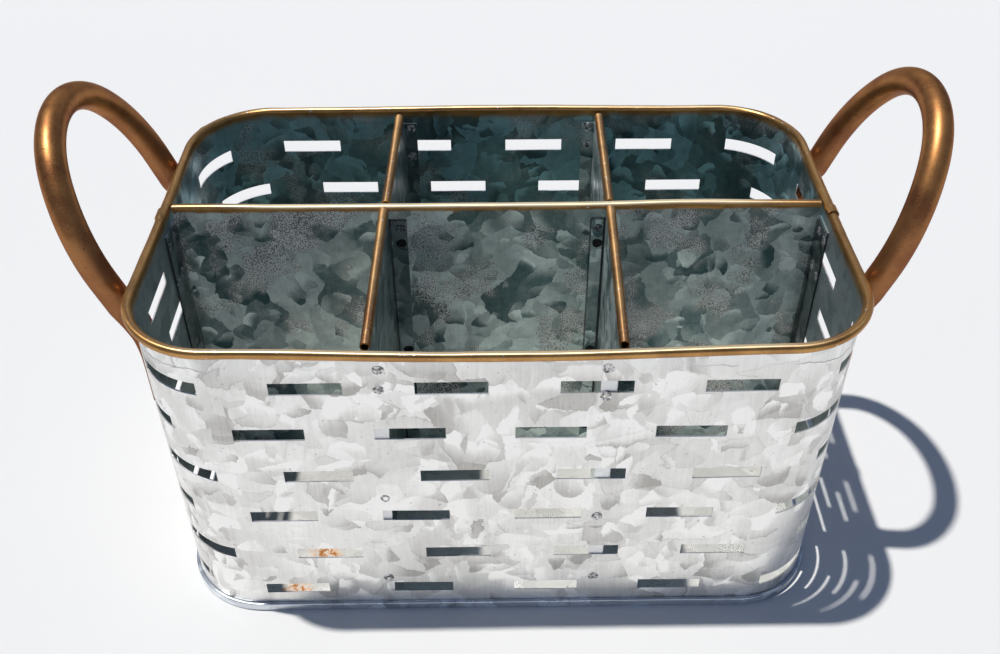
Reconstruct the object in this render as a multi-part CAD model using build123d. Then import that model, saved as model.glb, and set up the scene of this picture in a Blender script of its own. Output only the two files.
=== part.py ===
from build123d import *
import os
from math import sin, cos, radians, pi

# Six-compartment sheet-metal cutlery caddy.
# Frame: origin at the middle of the base on the standing surface, +X along the
# length (to the right hand), +Y to the back, +Z up. Millimetres.

# ---------------------------------------------------------------- dimensions
LENGTH = 300.0          # outside of the end walls
WIDTH = 188.2           # outside of the front and back walls
CORNER_R = 36.0         # outside corner radius of the wall
SHEET = 0.6             # sheet thickness everywhere

RIM_R = 2.1             # outside radius of the rolled rim
RIM_Z = 162.0           # height of the rim roll's centre
ROLL_OPEN = 305.0       # degrees of sheet in a roll
SLEEVE_R = 2.6          # swaged end of the rim roll at a seam
SLEEVE_OWN = 4.0        # swaged length on its own half
SLEEVE_LAP = 3.5        # swaged length over the other half

SEAM_H = 4.6            # height of the folded bottom seam
SEAM_GAP = 0.03         # play between the folded layers

SLOT_L = 29.5
SLOT_H = 6.5
SLOT_PITCH = 58.27
SLOT_ROWS = [142.6, 117.05, 91.7, 66.2, 40.4, 14.95]
SLOT_SHIFT = [-19.4, -37.3]     # first slot centre of odd and even rows
SEAM_MARGIN = 3.6               # slots stop this far from the end seams

DIV_Z = 161.0           # height of the divider rolls' centre
DIV_R = 2.1
LONG_Y = 5.6            # front face of the long divider
LONG_FLANGE = 15.1      # its end flanges, bent to the front
WALL_FLANGE = 6.3       # flanges of the short dividers on the outer wall
MID_FLANGE_LEFT = 8.0   # and on the long divider
MID_FLANGE_RIGHT = 6.3
FLANGE_TOP = 156.0      # top of every flange
FLOOR_TOP = SHEET

# roll-centre X of the short dividers: (at the outer wall, at the long divider)
FRONT_LEFT_X = (-52.7, -52.1)
FRONT_RIGHT_X = (48.7, 51.7)
BACK_LEFT_X = (-50.0, -51.5)
BACK_RIGHT_X = (52.9, 51.3)
# the front left divider is welded in askew: its foot stands this far to the left
FRONT_LEFT_LEAN = (-6.5, -1.0)

SPOT_R = 1.9            # spot-weld nugget

TUBE_D = 12.2           # handle tube
TUBE_WALL = 1.0
# hand-bent loops: lean from the vertical, half spacing of the legs, and height of
# the loop above the foot bend, measured along the loop
LEFT_LOOP = (20.3, 49.0, 74.1)
RIGHT_LOOP = (20.7, 50.5, 75.4)
HANDLE_SHIFT = 3.3      # loops sit off the middle, opposite ways
HANDLE_TOP_R = 44.65
HANDLE_TOP_ANGLE = 49.6
HANDLE_X = 156.7        # loop plane at the foot bend
HANDLE_Z = 148.9
# flattened foot: height, thickness, width
FOOT = [(140.0, 4.0, 17.2), (130.0, 2.7, 18.3), (106.0, 2.5, 18.5)]
FOOT_END_Z = FOOT[-1][0]

HALF_L = LENGTH / 2
HALF_W = WIDTH / 2
FLAT = HALF_L - CORNER_R
ARC = CORNER_R * pi / 2
END_FLAT = HALF_W - CORNER_R

os.makedirs("parts", exist_ok=True)


# ---------------------------------------------------------------- helpers
def prism(off, z0, z1):
    """Rounded rectangle at an offset from the wall's outside, z0 to z1."""
    f = RectangleRounded(LENGTH + 2 * off, WIDTH + 2 * off, CORNER_R + off)
    return Pos(0, 0, z0) * extrude(f, z1 - z0)


def ring(off_out, off_in, z0, z1):
    f = RectangleRounded(LENGTH + 2 * off_out, WIDTH + 2 * off_out, CORNER_R + off_out) \
        - RectangleRounded(LENGTH + 2 * off_in, WIDTH + 2 * off_in, CORNER_R + off_in)
    return Pos(0, 0, z0) * extrude(f, z1 - z0)


def front_half(shape):
    return shape & (Pos(0, -200, 100) * Box(800, 400, 600))


def sector(r_in, r_out, a0, a1):
    """Flat face of an annulus sector, angles in degrees."""
    p = lambda r, a: (r * cos(radians(a)), r * sin(radians(a)))
    edges = [CenterArc((0, 0), r_out, a0, a1 - a0), CenterArc((0, 0), r_in, a0, a1 - a0),
             Line(p(r_in, a0), p(r_out, a0)), Line(p(r_in, a1), p(r_out, a1))]
    return make_face(edges)


def box_between(x0, x1, y0, y1, z0, z1):
    return Pos((x0 + x1) / 2, (y0 + y1) / 2, (z0 + z1) / 2) * Box(abs(x1 - x0), abs(y1 - y0), abs(z1 - z0))


def slot_cutters(s0, s1, z0, z1):
    """Cutters of one slot that runs along the wall from s0 to s1; s is measured
    along the outside from the middle of the front."""
    out = []
    a, b = max(s0, -FLAT), min(s1, FLAT)
    if b > a:
        out.append(box_between(a, b, -HALF_W - 2, -HALF_W + 2, z0, z1))
    for sg in (1, -1):
        lo, hi = (s0, s1) if sg > 0 else (-s1, -s0)
        a, b = max(lo, FLAT), min(hi, FLAT + ARC)
        if b > a:
            d0, d1 = -90 + (a - FLAT) / CORNER_R * 180 / pi, -90 + (b - FLAT) / CORNER_R * 180 / pi
            if sg < 0:
                d0, d1 = 180 - d1, 180 - d0
            f = Pos(sg * FLAT, -END_FLAT, z0) * sector(CORNER_R - 2, CORNER_R + 2, d0, d1)
            out.append(extrude(f, z1 - z0, dir=(0, 0, 1)))
        a, b = max(lo, FLAT + ARC), hi
        if b > a:
            y0, y1 = -END_FLAT + (a - FLAT - ARC), -END_FLAT + (b - FLAT - ARC)
            out.append(box_between(sg * (HALF_L - 2), sg * (HALF_L + 2), y0, y1, z0, z1))
    return out


def nugget(length):
    """Spot weld through a stack of sheets, local z from 0 to length: dished ends
    with a low ring round the electrode mark."""
    pts = [(0, 0.16), (0.8, 0.10), (1.3, -0.12), (1.65, -0.12), (SPOT_R, 0.0),
           (SPOT_R, length), (1.65, length + 0.12), (1.3, length + 0.12),
           (0.8, length - 0.10), (0, length - 0.16)]
    f = make_face(Polyline([(x, 0, z) for x, z in pts], close=True))
    return revolve(f, Axis.Z)


def along(origin, z_dir, x_dir):
    return Plane(origin=origin, x_dir=x_dir, z_dir=z_dir)


def spot(origin, direction):
    """Plane whose local z runs through the sheets at a spot weld."""
    x = (0, 0, 1)
    return Plane(origin=origin, x_dir=x, z_dir=direction)


# ---------------------------------------------------------------- spot welds
def wall_spots(points, y0, y1):
    d = (0, 1 if y1 > y0 else -1, 0)
    n = abs(y1 - y0)
    body = [spot((x, y0, z), d) * nugget(n) for x, z in points]
    hole = [spot((x, y0 - d[1] * 1, z), d) * extrude(Circle(SPOT_R), n + 2) for x, z in points]
    return body, hole


Y_IN = HALF_W - SHEET
X_IN = HALF_L - SHEET
front_left_pts = [(-48.0, 152.7), (-48.4, 142.0), (-50.2, 77.4), (-52.4, 22.0)]
front_right_pts = [(42.7, 152.4), (42.6, 137.3), (42.8, 63.8), (43.2, 21.2)]
back_left_pts = [(-44.6, 153.0), (-44.6, 136.5), (-44.4, 78.0), (-44.8, 22.0)]
back_right_pts = [(47.6, 153.4), (47.4, 143.4), (47.4, 78.0), (47.2, 22.0)]
left_cross_pts = [(-45.0, 151.2), (-45.0, 142.6), (-45.4, 77.0), (-45.2, 22.0)]
right_cross_pts = [(46.1, 150.6), (46.4, 141.9), (46.2, 76.0), (46.0, 22.0)]

front_left_welds, front_left_holes = wall_spots(front_left_pts, -HALF_W, -HALF_W + 2 * SHEET)
front_right_welds, front_right_holes = wall_spots(front_right_pts, -HALF_W, -HALF_W + 2 * SHEET)
back_left_welds, back_left_holes = wall_spots(back_left_pts, HALF_W, HALF_W - 2 * SHEET)
back_right_welds, back_right_holes = wall_spots(back_right_pts, HALF_W, HALF_W - 2 * SHEET)
left_cross_welds, left_cross_holes = wall_spots(left_cross_pts, LONG_Y - SHEET, LONG_Y + 2 * SHEET)
right_cross_welds, right_cross_holes = wall_spots(right_cross_pts, LONG_Y - SHEET, LONG_Y + 2 * SHEET)

END_Z = [149.6, 129.8, 78.9, 27.7]


def end_spots(sg):
    pts = [(y, z) for y in (-6.0, 2.4) for z in END_Z]
    d = (-sg, 0, 0)
    body = [spot((sg * HALF_L, y, z), d) * nugget(2 * SHEET) for y, z in pts]
    hole = [spot((sg * (HALF_L + 1), y, z), d) * extrude(Circle(SPOT_R), 2 * SHEET + 2) for y, z in pts]
    return body, hole


left_end_welds, left_end_holes = end_spots(-1)
right_end_welds, right_end_holes = end_spots(1)

# ---------------------------------------------------------------- wall shells
# wall, bottom flange turned out and up, rolled rim; the front half is modelled
# and the back half is the same pressing turned half round
wall = ring(0, -SHEET, FLOOR_TOP, RIM_Z)
flange_h = ring(2 * SHEET - SEAM_GAP, -SHEET, FLOOR_TOP, 2 * SHEET)
flange_v = ring(2 * SHEET - SEAM_GAP, SHEET, FLOOR_TOP, SEAM_H - SHEET - SEAM_GAP)
half = front_half(wall + flange_h + flange_v)

roll_off = RIM_R - SHEET
pa, pb, pr = HALF_L + roll_off, HALF_W + roll_off, CORNER_R + roll_off
roll_path = Wire([
    Line((-pa, 0, RIM_Z), (-pa, -(pb - pr), RIM_Z)).edge(),
    CenterArc((-pa + pr, -pb + pr, RIM_Z), pr, 180, 90).edge(),
    Line((-pa + pr, -pb, RIM_Z), (pa - pr, -pb, RIM_Z)).edge(),
    CenterArc((pa - pr, -pb + pr, RIM_Z), pr, 270, 90).edge(),
    Line((pa, -(pb - pr), RIM_Z), (pa, 0, RIM_Z)).edge(),
])
roll_plane = along((-pa, 0, RIM_Z), (0, -1, 0), (1, 0, 0))
roll = sweep(roll_plane * sector(RIM_R - SHEET, RIM_R, 0, ROLL_OPEN), path=roll_path)
sleeve_own = extrude(roll_plane * sector(RIM_R - 0.3, SLEEVE_R, 25, 285), SLEEVE_OWN, dir=(0, -1, 0))
sleeve_lap = extrude(roll_plane * sector(RIM_R + SEAM_GAP, SLEEVE_R, 25, 285), SLEEVE_LAP, dir=(0, 1, 0))
half = half + roll + sleeve_own + sleeve_lap

cutters = []
limit = FLAT + ARC + END_FLAT - SEAM_MARGIN
for i, z in enumerate(SLOT_ROWS):
    for k in range(-4, 5):
        c = SLOT_SHIFT[i % 2] + k * SLOT_PITCH
        s0, s1 = max(c - SLOT_L / 2, -limit), min(c + SLOT_L / 2, limit)
        if s1 - s0 > 15:
            cutters += slot_cutters(s0, s1, z - SLOT_H / 2, z + SLOT_H / 2)
half = half - cutters

back_half_shape = Rot(0, 0, 180) * half
front_shell = half - (front_left_holes + front_right_holes + left_end_holes + right_end_holes)
back_shell = back_half_shape - (back_left_holes + back_right_holes + left_end_holes + right_end_holes)

# ---------------------------------------------------------------- floor
floor_pan = prism(3 * SHEET, 0, FLOOR_TOP) + ring(3 * SHEET, 2 * SHEET, 0, SEAM_H) \
    + ring(3 * SHEET, SEAM_GAP, SEAM_H - SHEET, SEAM_H) \
    + ring(SHEET - SEAM_GAP, SEAM_GAP, 2 * SHEET + SEAM_GAP, SEAM_H)
outer_edges = [e for e in floor_pan.edges()
               if max(abs(e.center().X) - HALF_L, abs(e.center().Y) - HALF_W) > 3 * SHEET - 0.01
               or (abs(e.center().X) > FLAT and abs(e.center().Y) > END_FLAT
                   and e.geom_type == GeomType.CIRCLE and e.radius > CORNER_R + 3 * SHEET - 0.01)]
outer_edges = [e for e in outer_edges if abs(e.center().Z) < 0.01 or abs(e.center().Z - SEAM_H) < 0.01]
floor_pan = fillet(outer_edges, 0.5)

# ---------------------------------------------------------------- dividers
# long divider: panel, roll turned to the back, end flanges bent to the front
x_end = X_IN
y_tip = LONG_Y + SHEET - LONG_FLANGE
sk = Pos(0, LONG_Y + SHEET / 2) * Rectangle(2 * x_end, SHEET)
for sg in (1, -1):
    sk += Pos(sg * (x_end - SHEET / 2), (y_tip + LONG_Y + SHEET) / 2) * Rectangle(SHEET, LONG_FLANGE)
outer_v = [v for v in sk.vertices() if abs(v.Y - LONG_Y - SHEET) < 0.01]
inner_v = [v for v in sk.vertices() if abs(v.Y - LONG_Y) < 0.01]
sk = fillet(outer_v, 1.0)
inner_v = [v for v in sk.vertices() if abs(v.Y - LONG_Y) < 0.01 and abs(abs(v.X) - x_end + SHEET) < 0.01]
sk = fillet(inner_v, 0.4)
low = Pos(0, 0, FLOOR_TOP) * extrude(sk, FLANGE_TOP - FLOOR_TOP)
high = box_between(-x_end + 1.0, x_end - 1.0, LONG_Y, LONG_Y + SHEET, FLANGE_TOP, DIV_Z)
long_plane = along((-x_end + 1.0, LONG_Y + DIV_R, DIV_Z), (1, 0, 0), (0, 1, 0))
long_roll = extrude(long_plane * sector(DIV_R - SHEET, DIV_R, 180 - ROLL_OPEN, 180), 2 * x_end - 2.0, dir=(1, 0, 0))
long_divider = low + high + long_roll
long_divider = long_divider - (left_cross_holes + right_cross_holes + left_end_holes + right_end_holes)


def short_divider(x_wall, x_mid, back, lean=None):
    """Panel from the outer wall to the long divider. Both flanges turn to the
    middle compartment, the roll turns away from it. lean: how far the bottom
    edge stands off to the side at the wall and at the long divider."""
    sx = 1 if x_wall > 0 else -1
    mid_flange = MID_FLANGE_RIGHT if sx > 0 else MID_FLANGE_LEFT
    xw, xm = x_wall - sx * DIV_R, x_mid - sx * DIV_R      # panel face to the middle
    if back:
        yw, ym, sy = Y_IN, LONG_Y + SHEET, -1
    else:
        yw, ym, sy = -Y_IN, LONG_Y, 1
    t = sx * SHEET
    f = lambda y: xw + (xm - xw) * (y - yw) / (ym - yw)
    yw2, ym2 = yw + sy * SHEET, ym - sy * SHEET

    def at(sketch, corners):
        return [v for v in sketch.vertices()
                if any(abs(v.X - x) < 0.01 and abs(v.Y - y) < 0.01 for x, y in corners)]

    def outline(dw, dm):
        a, b = xw + dw, xm + dm
        g = lambda y: a + (b - a) * (y - yw) / (ym - yw)
        plan = [(a + t, yw), (b + t, ym), (b - sx * mid_flange, ym), (b - sx * mid_flange, ym2),
                (g(ym2), ym2), (g(yw2), yw2), (a - sx * WALL_FLANGE, yw2), (a - sx * WALL_FLANGE, yw)]
        sk = make_face(Polyline(plan, close=True))
        sk = fillet(at(sk, plan[0:2]), 0.9)
        return fillet(at(sk, plan[4:6]), 0.35)

    if lean:
        foot_face = Pos(0, 0, FLOOR_TOP) * outline(*lean)
        top_face = Pos(0, 0, FLANGE_TOP) * outline(0, 0)
        low = Solid.make_loft([foot_face.faces()[0].outer_wire(), top_face.faces()[0].outer_wire()], ruled=True)
        low = Part() + low
    else:
        low = Pos(0, 0, FLOOR_TOP) * extrude(outline(0, 0), FLANGE_TOP - FLOOR_TOP)
    # upper strip of the panel and its roll stop short of the wall and of the long roll
    ya = yw + sy * 3.6
    yb = (LONG_Y + 2 * DIV_R + 0.35) if back else LONG_Y - 0.35
    strip = make_face(Polyline([(f(ya), ya), (f(yb), yb), (f(yb) + t, yb), (f(ya) + t, ya)], close=True))
    high = Pos(0, 0, FLANGE_TOP) * extrude(strip, DIV_Z - FLANGE_TOP)
    a, b = Vector(f(ya) + sx * DIV_R, ya, DIV_Z), Vector(f(yb) + sx * DIV_R, yb, DIV_Z)
    if (sx < 0) == (b.Y < a.Y):
        a, b = b, a
    d = (b - a).normalized()
    out = Vector(0, 0, 1).cross(d)          # horizontal, away from the middle
    if out.X * sx < 0:
        out = out * -1
    plane = Plane(origin=a, x_dir=out, z_dir=d)
    sec = sector(DIV_R - SHEET, DIV_R, 180 - ROLL_OPEN, 180)
    if plane.y_dir.Z < 0:
        sec = mirror(sec, about=Plane.XZ)
    roll = extrude(plane * sec, (b - a).length, dir=d)
    return low + high + roll


front_left_divider = short_divider(*FRONT_LEFT_X, False, FRONT_LEFT_LEAN) - (front_left_holes + left_cross_holes)
front_right_divider = short_divider(*FRONT_RIGHT_X, False) - (front_right_holes + right_cross_holes)
back_left_divider = short_divider(*BACK_LEFT_X, True) - (back_left_holes + left_cross_holes)
back_right_divider = short_divider(*BACK_RIGHT_X, True) - (back_right_holes + right_cross_holes)


# ---------------------------------------------------------------- handles
def foot_section(thick, width, inset, z, x0):
    """Flattened tube section, flat side on the wall, four edges."""
    r = thick / 2 - inset
    h = width / 2 - thick / 2
    c = x0 + thick / 2
    return Wire([
        Line((c - r, -h, z), (c - r, h, z)).edge(),
        ThreePointArc((c - r, h, z), (c, h + r, z), (c + r, h, z)).edge(),
        Line((c + r, h, z), (c + r, -h, z)).edge(),
        ThreePointArc((c + r, -h, z), (c, -h - r, z), (c - r, -h, z)).edge(),
    ])


def round_section(r, centre, tilt):
    """Tube section square to the leaning leg, four arcs that match the foot's edges."""
    n = Vector(cos(tilt), 0, -sin(tilt))
    y = Vector(0, 1, 0)
    p = lambda a: centre + n * (r * cos(radians(a))) + y * (r * sin(radians(a)))
    arcs = [(225, 180, 135), (135, 90, 45), (45, 0, -45), (-45, -90, -135)]
    return Wire([ThreePointArc(p(a), p(m), p(b)).edge() for a, m, b in arcs])


def handle(lean, half, rise):
    tilt = radians(lean)
    v = Vector(sin(tilt), 0, cos(tilt))
    o = Vector(HANDLE_X, 0, HANDLE_Z)
    pt = lambda y, s: o + Vector(0, 1, 0) * y + v * s
    phi = radians(HANDLE_TOP_ANGLE)
    jy, js = HANDLE_TOP_R * sin(phi), rise - HANDLE_TOP_R * (1 - cos(phi))
    side_r = (half - jy) / (1 - sin(phi))
    cy, cs = jy - side_r * sin(phi), js - side_r * cos(phi)
    mid = (phi + pi / 2) / 2
    s_foot = 4.0
    path = Wire([
        Line(pt(half, s_foot), pt(half, cs)).edge(),
        ThreePointArc(pt(half, cs), pt(cy + side_r * sin(mid), cs + side_r * cos(mid)), pt(jy, js)).edge(),
        ThreePointArc(pt(jy, js), pt(0, rise), pt(-jy, js)).edge(),
        ThreePointArc(pt(-jy, js), pt(-cy - side_r * sin(mid), cs + side_r * cos(mid)), pt(-half, cs)).edge(),
        Line(pt(-half, cs), pt(-half, s_foot)).edge(),
    ])
    start = Plane(origin=pt(half, s_foot), z_dir=v, x_dir=(0, 1, 0))
    loop = sweep(start * (Circle(TUBE_D / 2) - Circle(TUBE_D / 2 - TUBE_WALL)), path=path)

    def foot(grow):
        r = TUBE_D / 2 - grow
        c = pt(0, s_foot)
        rings = [round_section(r, c, tilt)] + [foot_section(t, w, grow, z, HALF_L) for z, t, w in FOOT]
        return [Solid.make_loft([u, l], ruled=True) for u, l in zip(rings[:-1], rings[1:])]

    one = Part() + foot(0)
    for hollow in foot(TUBE_WALL):
        one = one - hollow
    feet = [Pos(0, half, 0) * one, Pos(0, -half, 0) * one]
    return loop + feet[0] + feet[1]


def foot_weld(y):
    """Weld bead under a foot's end, against the wall."""
    pts = [(HALF_L, FOOT_END_Z), (HALF_L + 2.4, FOOT_END_Z), (HALF_L + 2.0, FOOT_END_Z - 1.2),
           (HALF_L + 1.0, FOOT_END_Z - 2.3), (HALF_L, FOOT_END_Z - 2.8)]
    f = make_face(Polyline([(x, 0, z) for x, z in pts], close=True))
    b = extrude(f, 8.0, dir=(0, 1, 0), both=True)
    ends = [e for e in b.edges() if abs(abs(e.center().Y) - 8.0) < 0.01 and e.center().X > HALF_L + 0.1 and e.center().Z < FOOT_END_Z - 0.1]
    b = chamfer(ends, 0.7)
    return Pos(0, y, 0) * b


right_handle = Pos(0, HANDLE_SHIFT, 0) * handle(*RIGHT_LOOP)
left_handle = Rot(0, 0, 180) * (Pos(0, HANDLE_SHIFT, 0) * handle(*LEFT_LOOP))
right_handle_front_weld = foot_weld(HANDLE_SHIFT - RIGHT_LOOP[1])
right_handle_back_weld = foot_weld(HANDLE_SHIFT + RIGHT_LOOP[1])
left_handle_back_weld = Rot(0, 0, 180) * foot_weld(HANDLE_SHIFT - LEFT_LOOP[1])
left_handle_front_weld = Rot(0, 0, 180) * foot_weld(HANDLE_SHIFT + LEFT_LOOP[1])

# ---------------------------------------------------------------- write
nodes = {
    "front_shell": front_shell,
    "back_shell": back_shell,
    "floor_pan": floor_pan,
    "long_divider": long_divider,
    "front_left_divider": front_left_divider,
    "front_right_divider": front_right_divider,
    "back_left_divider": back_left_divider,
    "back_right_divider": back_right_divider,
    "left_handle": left_handle,
    "right_handle": right_handle,
    "left_handle_front_weld": left_handle_front_weld,
    "left_handle_back_weld": left_handle_back_weld,
    "right_handle_front_weld": right_handle_front_weld,
    "right_handle_back_weld": right_handle_back_weld,
    "front_left_wall_welds": Compound(children=list(front_left_welds)),
    "front_right_wall_welds": Compound(children=list(front_right_welds)),
    "back_left_wall_welds": Compound(children=list(back_left_welds)),
    "back_right_wall_welds": Compound(children=list(back_right_welds)),
    "left_cross_welds": Compound(children=list(left_cross_welds)),
    "right_cross_welds": Compound(children=list(right_cross_welds)),
    "left_end_welds": Compound(children=list(left_end_welds)),
    "right_end_welds": Compound(children=list(right_end_welds)),
}
for name, shape in nodes.items():
    n = len(shape.solids())
    print(name, "solids", n, "volume", round(sum(s.volume for s in shape.solids()), 1))
    export_step(shape, f"parts/{name}.step")
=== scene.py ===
import bpy
import math
import numpy as np
from mathutils import Matrix, Vector


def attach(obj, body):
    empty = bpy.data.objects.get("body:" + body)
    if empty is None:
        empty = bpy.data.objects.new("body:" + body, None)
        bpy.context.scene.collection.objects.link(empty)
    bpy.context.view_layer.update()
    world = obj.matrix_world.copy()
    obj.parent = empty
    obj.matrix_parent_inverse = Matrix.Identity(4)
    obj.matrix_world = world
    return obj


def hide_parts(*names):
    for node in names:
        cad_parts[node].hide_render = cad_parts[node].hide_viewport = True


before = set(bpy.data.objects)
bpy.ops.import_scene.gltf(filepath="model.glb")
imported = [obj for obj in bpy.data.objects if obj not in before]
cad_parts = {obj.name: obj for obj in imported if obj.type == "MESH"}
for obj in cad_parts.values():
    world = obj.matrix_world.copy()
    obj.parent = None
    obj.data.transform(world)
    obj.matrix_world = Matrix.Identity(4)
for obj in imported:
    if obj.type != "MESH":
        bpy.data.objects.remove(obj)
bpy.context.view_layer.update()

MM = 0.001
pi = math.pi

# ------------------------------------------------------------------ dimensions, mm
LENGTH, WIDTH, CORNER_R, SHEET = 300.0, 188.2, 36.0, 0.6
RIM_R, RIM_Z, ROLL_END = 2.1, 162.0, -125.0
DIV_R, DIV_Z, FLANGE_TOP = 2.1, 161.0, 156.0
LONG_Y, LONG_FLANGE = 5.6, 15.1
SLOT_L, SLOT_H, SLOT_PITCH = 29.5, 6.5, 58.27
SLOT_ROWS = [142.6, 117.05, 91.7, 66.2, 40.4, 14.95]
SLOT_SHIFT = [-19.4, -37.3]
SEAM_MARGIN = 3.6
HALF_L, HALF_W = LENGTH / 2, WIDTH / 2
FLAT, ARC, END_FLAT = HALF_L - CORNER_R, CORNER_R * pi / 2, HALF_W - CORNER_R
SEAM_S = FLAT + ARC + END_FLAT
Y_IN, X_IN = HALF_W - SHEET, HALF_L - SHEET
# short dividers: x of the roll at the wall and at the long divider, back half or not,
# flange widths at wall and long divider, shift of the lower edge at wall and long divider
SHORT = {
    "front_left_divider": (-52.7, -52.1, False, 6.3, 8.0, -6.5, -1.0),
    "front_right_divider": (48.7, 51.7, False, 6.3, 6.3, 0.0, 0.0),
    "back_left_divider": (-50.0, -51.5, True, 6.3, 8.0, 0.0, 0.0),
    "back_right_divider": (52.9, 51.3, True, 6.3, 6.3, 0.0, 0.0),
}
TUBE_R, HANDLE_SHIFT, HANDLE_TOP_R, HANDLE_TOP_ANGLE = 6.1, 3.3, 44.65, 49.6
HANDLE_X, HANDLE_Z = 156.7, 148.9
LEFT_LOOP, RIGHT_LOOP = (20.3, 49.0, 74.1), (20.7, 50.5, 75.4)


# ------------------------------------------------------------------ small helpers
def smooth(a, b, x):
    t = np.clip((np.asarray(x, float) - a) / (b - a), 0, 1)
    return t * t * (3 - 2 * t)


def lines(marks, step):
    """Grid lines through every mark, with no gap over step(position)."""
    marks = sorted(set(round(float(m), 4) for m in marks))
    out = [marks[0]]
    for a, b in zip(marks[:-1], marks[1:]):
        n = max(1, int(math.ceil((b - a) / step((a + b) / 2) - 1e-6)))
        out += [a + (b - a) * k / n for k in range(1, n + 1)]
    return np.array(out)


def ripple(seed, count, shortest, longest):
    """A gentle random wave over two coordinates, about -1 to 1."""
    r = np.random.default_rng(seed)
    k = 2 * pi / r.uniform(shortest, longest, count)
    a, p = r.uniform(0, 2 * pi, count), r.uniform(0, 2 * pi, count)

    def f(u, v):
        return sum(np.sin(ki * (u * math.cos(ai) + v * math.sin(ai)) + ph) for ki, ai, ph in zip(k, a, p)) / math.sqrt(count)
    return f


def new_object(name, verts, faces, mats=(), index=None, smooth_faces=True):
    me = bpy.data.meshes.new(name)
    me.from_pydata([tuple(v) for v in np.asarray(verts, float) * MM], [], [tuple(int(i) for i in f) for f in faces])
    for m in mats:
        me.materials.append(m)
    if index is not None:
        me.polygons.foreach_set("material_index", [int(i) for i in index])
    me.polygons.foreach_set("use_smooth", [smooth_faces] * len(me.polygons))
    me.update()
    ob = bpy.data.objects.new(name, me)
    bpy.context.scene.collection.objects.link(ob)
    return ob


def grid_faces(shape, keep):
    """Vertex numbers of the kept cells of a grid, and which grid points they use."""
    used = np.zeros(shape, bool)
    used[:-1, :-1] |= keep
    used[1:, :-1] |= keep
    used[:-1, 1:] |= keep
    used[1:, 1:] |= keep
    number = np.full(shape, -1)
    number[used] = np.arange(used.sum())
    i, j = np.nonzero(keep)
    return used, np.stack([number[i, j], number[i + 1, j], number[i + 1, j + 1], number[i, j + 1]], 1), (i, j)


def sheet_object(name, P, keep, mats, cell_mat, other_side=2, bevel=0.07):
    """A sheet-metal piece from the grid of its middle surface."""
    used, faces, (i, j) = grid_faces(P.shape[:2], keep)
    ob = new_object(name, P[used], faces, mats, cell_mat[i, j])
    s = ob.modifiers.new("sheet", "SOLIDIFY")
    s.thickness, s.offset = SHEET * MM, 0.0
    s.use_even_offset, s.use_quality_normals = True, True
    s.material_offset, s.material_offset_rim = other_side, 0
    b = ob.modifiers.new("edges", "BEVEL")
    b.width, b.segments = bevel * MM, 2
    b.limit_method, b.angle_limit = "ANGLE", math.radians(62)
    w = ob.modifiers.new("shading", "WEIGHTED_NORMAL")
    w.weight, w.keep_sharp = 60, False
    return ob


def finish_piece(ob, slot, *nodes):
    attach(ob, "root")
    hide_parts(*nodes)
    return ob


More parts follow.
